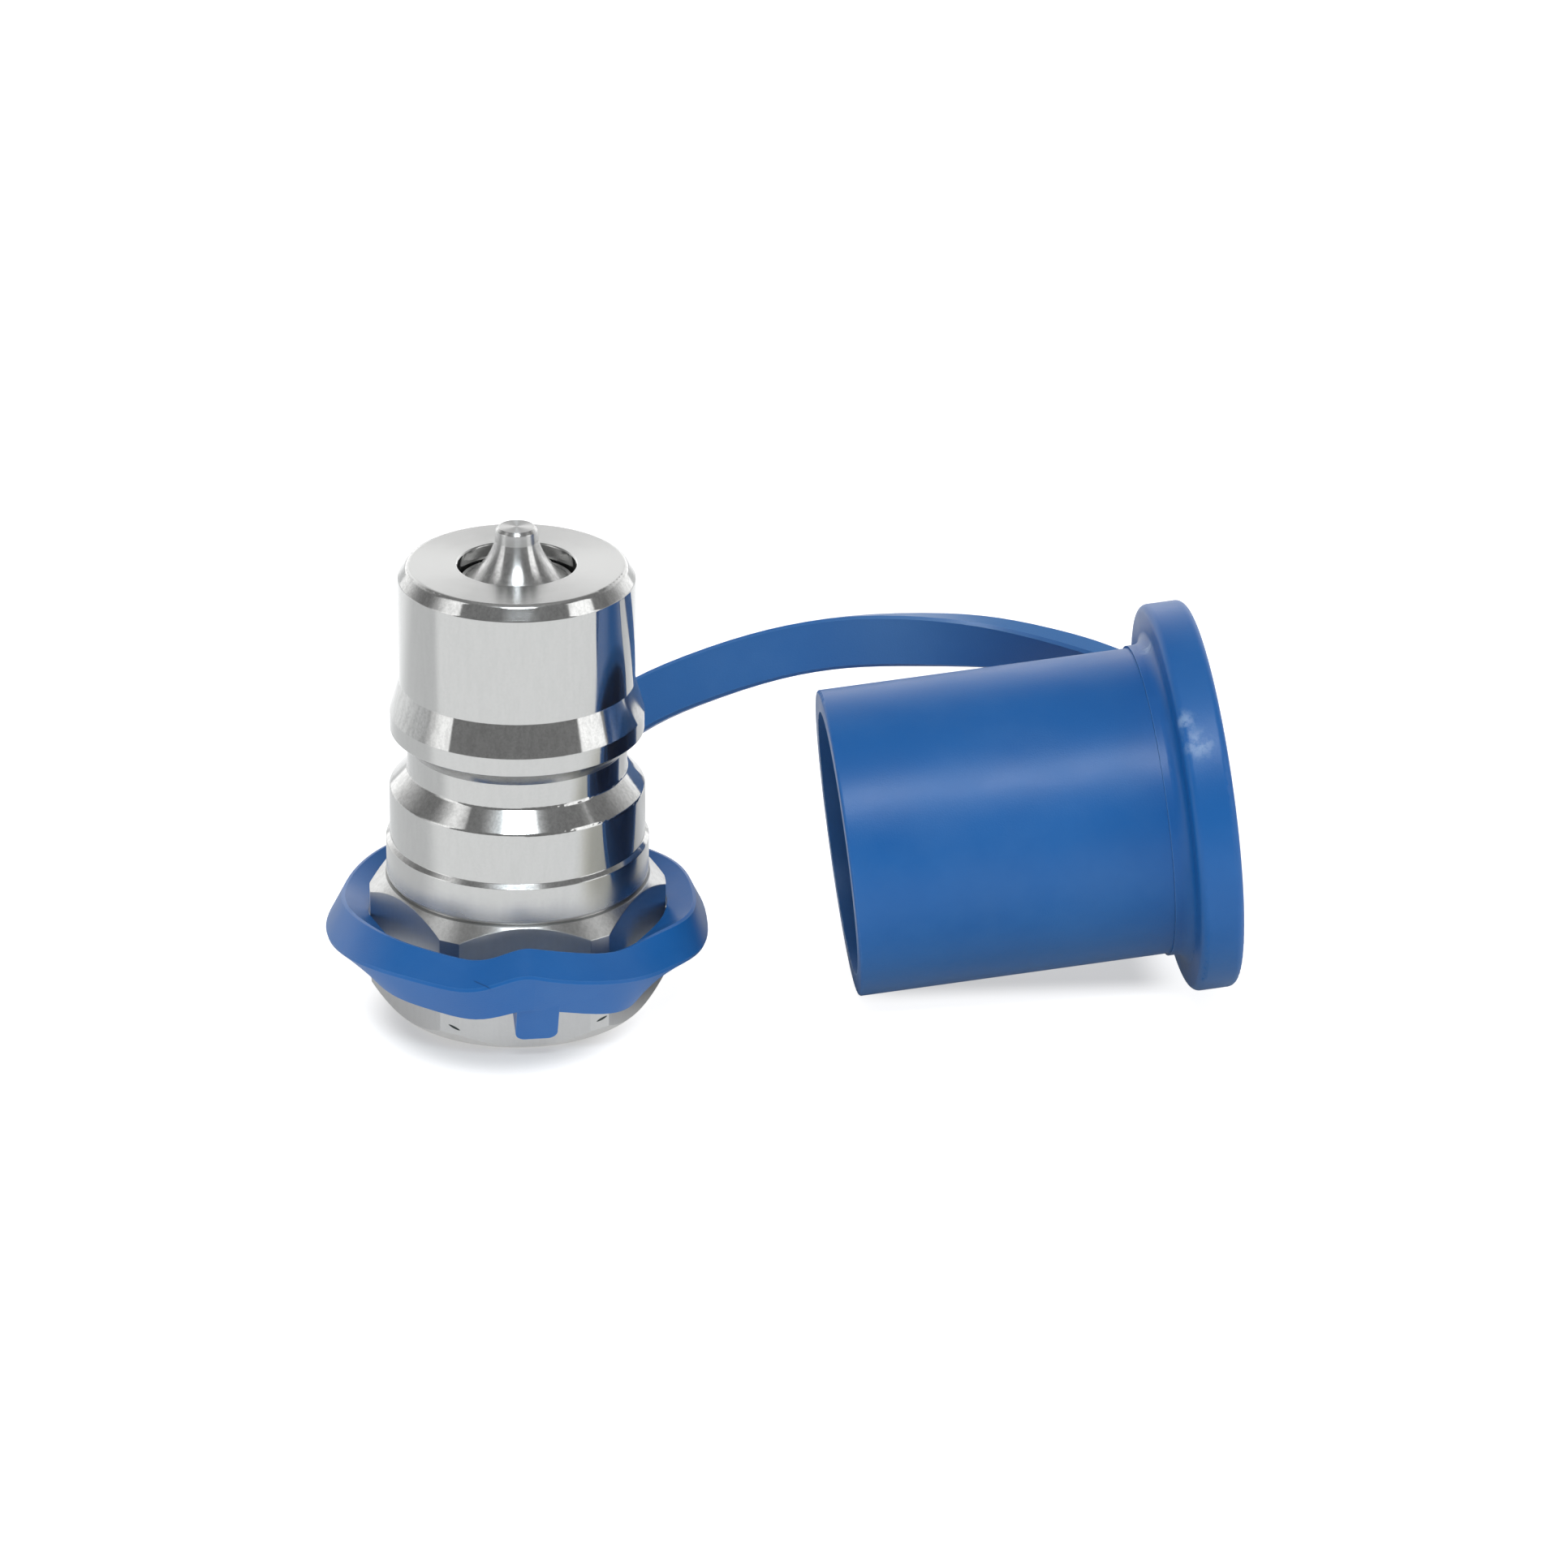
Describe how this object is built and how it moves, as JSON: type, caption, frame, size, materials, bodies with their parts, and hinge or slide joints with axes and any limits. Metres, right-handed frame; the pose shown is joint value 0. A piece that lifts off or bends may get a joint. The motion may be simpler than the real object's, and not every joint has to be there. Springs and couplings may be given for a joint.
{
  "type": "hydraulic quick coupler male tip",
  "caption": "Male tip of a hydraulic quick coupler with a poppet valve, a hexagon with a tapered pipe port, and a moulded dust cap on its strap.",
  "frame": {"origin": "on the axis of the plug at the face of the pipe port, which is the face it stands on", "axes": "+Z along the plug's axis, out of the nose; -Y square to the flat of the hexagon that faces the front; +X towards the cap that lies beside the plug"},
  "size_m": [0.0922, 0.0495, 0.0507],
  "materials": {
    "plug_steel": "bright turned, zinc plated",
    "poppet_steel": "polished",
    "seal_rubber": "matte",
    "spring_steel": "drawn wire",
    "guide_steel": "machined",
    "clip_steel": "blackened",
    "cap_plastic": "satin moulded"
  },
  "bodies": {
    "plug": {"plug_body": "plug_steel", "valve_guide": "guide_steel", "retaining_ring": "clip_steel", "valve_spring": "spring_steel", "dust_cap": "cap_plastic"},
    "valve": {"poppet": "poppet_steel", "poppet_seal": "seal_rubber"}
  },
  "joints": [
    {"name": "poppet_slide", "type": "slide", "parent": "plug", "child": "valve", "axis": [0, 0, -1], "range_m": [0, 0.005], "stiffness_N_per_m": 3000, "springref_m": -0.004, "deforming": ["valve_spring"]}
  ]
}
